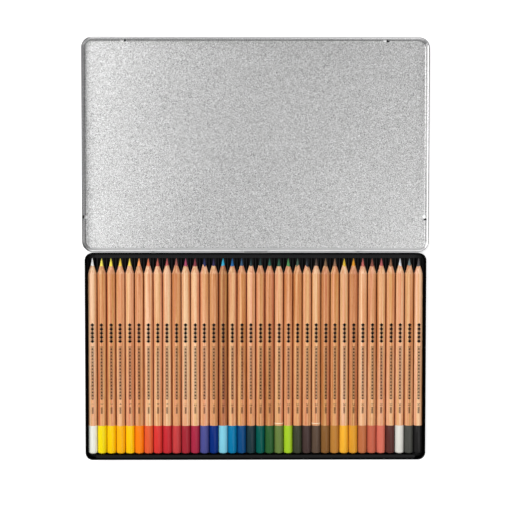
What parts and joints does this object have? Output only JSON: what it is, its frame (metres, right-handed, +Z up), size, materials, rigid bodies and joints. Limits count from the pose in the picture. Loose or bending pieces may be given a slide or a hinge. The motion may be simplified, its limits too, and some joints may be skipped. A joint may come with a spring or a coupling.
{
  "type": "colored pencil tin",
  "caption": "Flat hinged metal tin, lid laid open, with a single row of sharpened round colored pencils lying in a grooved black tray.",
  "frame": {"origin": "centre of the tin's underside, on the surface it lies on", "axes": "+X to the right along the hinge, +Y from the pencils' dipped ends towards the hinge and the open lid, +Z up out of the tin"},
  "size_m": [0.3076, 0.3743, 0.0132],
  "materials": {
    "black_lacquer": "gloss",
    "bright_wire": "satin",
    "black_tray": "satin",
    "silver_lacquer": "satin, finely speckled",
    "pencil_wood": "natural, lightly varnished"
  },
  "bodies": {
    "tin": {"base_tin": "black_lacquer", "hinge_wire": "bright_wire", "pencil_tray": "black_tray"},
    "lid": {"lid": "silver_lacquer"},
    "pencil_01_white": {"pencil_01_white": "pencil_wood"},
    "pencil_02_lemon": {"pencil_02_lemon": "pencil_wood"},
    "pencil_03_yellow": {"pencil_03_yellow": "pencil_wood"},
    "pencil_04_warm_yellow": {"pencil_04_warm_yellow": "pencil_wood"},
    "pencil_05_deep_yellow": {"pencil_05_deep_yellow": "pencil_wood"},
    "pencil_06_orange": {"pencil_06_orange": "pencil_wood"},
    "pencil_07_vermilion": {"pencil_07_vermilion": "pencil_wood"},
    "pencil_08_red": {"pencil_08_red": "pencil_wood"},
    "pencil_09_crimson": {"pencil_09_crimson": "pencil_wood"},
    "pencil_10_carmine": {"pencil_10_carmine": "pencil_wood"},
    "pencil_11_wine": {"pencil_11_wine": "pencil_wood"},
    "pencil_12_raspberry": {"pencil_12_raspberry": "pencil_wood"},
    "pencil_13_blue_violet": {"pencil_13_blue_violet": "pencil_wood"},
    "pencil_14_dark_blue": {"pencil_14_dark_blue": "pencil_wood"},
    "pencil_15_sky_blue": {"pencil_15_sky_blue": "pencil_wood"},
    "pencil_16_cyan_blue": {"pencil_16_cyan_blue": "pencil_wood"},
    "pencil_17_deep_blue": {"pencil_17_deep_blue": "pencil_wood"},
    "pencil_18_black_green": {"pencil_18_black_green": "pencil_wood"},
    "pencil_19_teal": {"pencil_19_teal": "pencil_wood"},
    "pencil_20_green": {"pencil_20_green": "pencil_wood"},
    "pencil_21_olive": {"pencil_21_olive": "pencil_wood"},
    "pencil_22_lime": {"pencil_22_lime": "pencil_wood"},
    "pencil_23_moss": {"pencil_23_moss": "pencil_wood"},
    "pencil_24_purple_brown": {"pencil_24_purple_brown": "pencil_wood"},
    "pencil_25_grey_brown": {"pencil_25_grey_brown": "pencil_wood"},
    "pencil_26_brown": {"pencil_26_brown": "pencil_wood"},
    "pencil_27_ochre": {"pencil_27_ochre": "pencil_wood"},
    "pencil_28_yellow_ochre": {"pencil_28_yellow_ochre": "pencil_wood"},
    "pencil_29_golden_ochre": {"pencil_29_golden_ochre": "pencil_wood"},
    "pencil_30_sienna": {"pencil_30_sienna": "pencil_wood"},
    "pencil_31_terracotta": {"pencil_31_terracotta": "pencil_wood"},
    "pencil_32_salmon": {"pencil_32_salmon": "pencil_wood"},
    "pencil_33_dark_brown": {"pencil_33_dark_brown": "pencil_wood"},
    "pencil_34_light_grey": {"pencil_34_light_grey": "pencil_wood"},
    "pencil_35_dark_grey": {"pencil_35_dark_grey": "pencil_wood"},
    "pencil_36_black": {"pencil_36_black": "pencil_wood"}
  },
  "joints": [
    {"name": "lid_hinge", "type": "hinge", "parent": "tin", "child": "lid", "pos_m": [0, 0.09375, 0.0069], "axis": [-1, 0, 0], "range_deg": [-180, 0]},
    {"name": "lift_01_white", "type": "slide", "parent": "tin", "child": "pencil_01_white", "axis": [0, 0, 1], "range_m": [0, 0.03]},
    {"name": "lift_02_lemon", "type": "slide", "parent": "tin", "child": "pencil_02_lemon", "axis": [0, 0, 1], "range_m": [0, 0.03]},
    {"name": "lift_03_yellow", "type": "slide", "parent": "tin", "child": "pencil_03_yellow", "axis": [0, 0, 1], "range_m": [0, 0.03]},
    {"name": "lift_04_warm_yellow", "type": "slide", "parent": "tin", "child": "pencil_04_warm_yellow", "axis": [0, 0, 1], "range_m": [0, 0.03]},
    {"name": "lift_05_deep_yellow", "type": "slide", "parent": "tin", "child": "pencil_05_deep_yellow", "axis": [0, 0, 1], "range_m": [0, 0.03]},
    {"name": "lift_06_orange", "type": "slide", "parent": "tin", "child": "pencil_06_orange", "axis": [0, 0, 1], "range_m": [0, 0.03]},
    {"name": "lift_07_vermilion", "type": "slide", "parent": "tin", "child": "pencil_07_vermilion", "axis": [0, 0, 1], "range_m": [0, 0.03]},
    {"name": "lift_08_red", "type": "slide", "parent": "tin", "child": "pencil_08_red", "axis": [0, 0, 1], "range_m": [0, 0.03]},
    {"name": "lift_09_crimson", "type": "slide", "parent": "tin", "child": "pencil_09_crimson", "axis": [0, 0, 1], "range_m": [0, 0.03]},
    {"name": "lift_10_carmine", "type": "slide", "parent": "tin", "child": "pencil_10_carmine", "axis": [0, 0, 1], "range_m": [0, 0.03]},
    {"name": "lift_11_wine", "type": "slide", "parent": "tin", "child": "pencil_11_wine", "axis": [0, 0, 1], "range_m": [0, 0.03]},
    {"name": "lift_12_raspberry", "type": "slide", "parent": "tin", "child": "pencil_12_raspberry", "axis": [0, 0, 1], "range_m": [0, 0.03]},
    {"name": "lift_13_blue_violet", "type": "slide", "parent": "tin", "child": "pencil_13_blue_violet", "axis": [0, 0, 1], "range_m": [0, 0.03]},
    {"name": "lift_14_dark_blue", "type": "slide", "parent": "tin", "child": "pencil_14_dark_blue", "axis": [0, 0, 1], "range_m": [0, 0.03]},
    {"name": "lift_15_sky_blue", "type": "slide", "parent": "tin", "child": "pencil_15_sky_blue", "axis": [0, 0, 1], "range_m": [0, 0.03]},
    {"name": "lift_16_cyan_blue", "type": "slide", "parent": "tin", "child": "pencil_16_cyan_blue", "axis": [0, 0, 1], "range_m": [0, 0.03]},
    {"name": "lift_17_deep_blue", "type": "slide", "parent": "tin", "child": "pencil_17_deep_blue", "axis": [0, 0, 1], "range_m": [0, 0.03]},
    {"name": "lift_18_black_green", "type": "slide", "parent": "tin", "child": "pencil_18_black_green", "axis": [0, 0, 1], "range_m": [0, 0.03]},
    {"name": "lift_19_teal", "type": "slide", "parent": "tin", "child": "pencil_19_teal", "axis": [0, 0, 1], "range_m": [0, 0.03]},
    {"name": "lift_20_green", "type": "slide", "parent": "tin", "child": "pencil_20_green", "axis": [0, 0, 1], "range_m": [0, 0.03]},
    {"name": "lift_21_olive", "type": "slide", "parent": "tin", "child": "pencil_21_olive", "axis": [0, 0, 1], "range_m": [0, 0.03]},
    {"name": "lift_22_lime", "type": "slide", "parent": "tin", "child": "pencil_22_lime", "axis": [0, 0, 1], "range_m": [0, 0.03]},
    {"name": "lift_23_moss", "type": "slide", "parent": "tin", "child": "pencil_23_moss", "axis": [0, 0, 1], "range_m": [0, 0.03]},
    {"name": "lift_24_purple_brown", "type": "slide", "parent": "tin", "child": "pencil_24_purple_brown", "axis": [0, 0, 1], "range_m": [0, 0.03]},
    {"name": "lift_25_grey_brown", "type": "slide", "parent": "tin", "child": "pencil_25_grey_brown", "axis": [0, 0, 1], "range_m": [0, 0.03]},
    {"name": "lift_26_brown", "type": "slide", "parent": "tin", "child": "pencil_26_brown", "axis": [0, 0, 1], "range_m": [0, 0.03]},
    {"name": "lift_27_ochre", "type": "slide", "parent": "tin", "child": "pencil_27_ochre", "axis": [0, 0, 1], "range_m": [0, 0.03]},
    {"name": "lift_28_yellow_ochre", "type": "slide", "parent": "tin", "child": "pencil_28_yellow_ochre", "axis": [0, 0, 1], "range_m": [0, 0.03]},
    {"name": "lift_29_golden_ochre", "type": "slide", "parent": "tin", "child": "pencil_29_golden_ochre", "axis": [0, 0, 1], "range_m": [0, 0.03]},
    {"name": "lift_30_sienna", "type": "slide", "parent": "tin", "child": "pencil_30_sienna", "axis": [0, 0, 1], "range_m": [0, 0.03]},
    {"name": "lift_31_terracotta", "type": "slide", "parent": "tin", "child": "pencil_31_terracotta", "axis": [0, 0, 1], "range_m": [0, 0.03]},
    {"name": "lift_32_salmon", "type": "slide", "parent": "tin", "child": "pencil_32_salmon", "axis": [0, 0, 1], "range_m": [0, 0.03]},
    {"name": "lift_33_dark_brown", "type": "slide", "parent": "tin", "child": "pencil_33_dark_brown", "axis": [0, 0, 1], "range_m": [0, 0.03]},
    {"name": "lift_34_light_grey", "type": "slide", "parent": "tin", "child": "pencil_34_light_grey", "axis": [0, 0, 1], "range_m": [0, 0.03]},
    {"name": "lift_35_dark_grey", "type": "slide", "parent": "tin", "child": "pencil_35_dark_grey", "axis": [0, 0, 1], "range_m": [0, 0.03]},
    {"name": "lift_36_black", "type": "slide", "parent": "tin", "child": "pencil_36_black", "axis": [0, 0, 1], "range_m": [0, 0.03]}
  ]
}
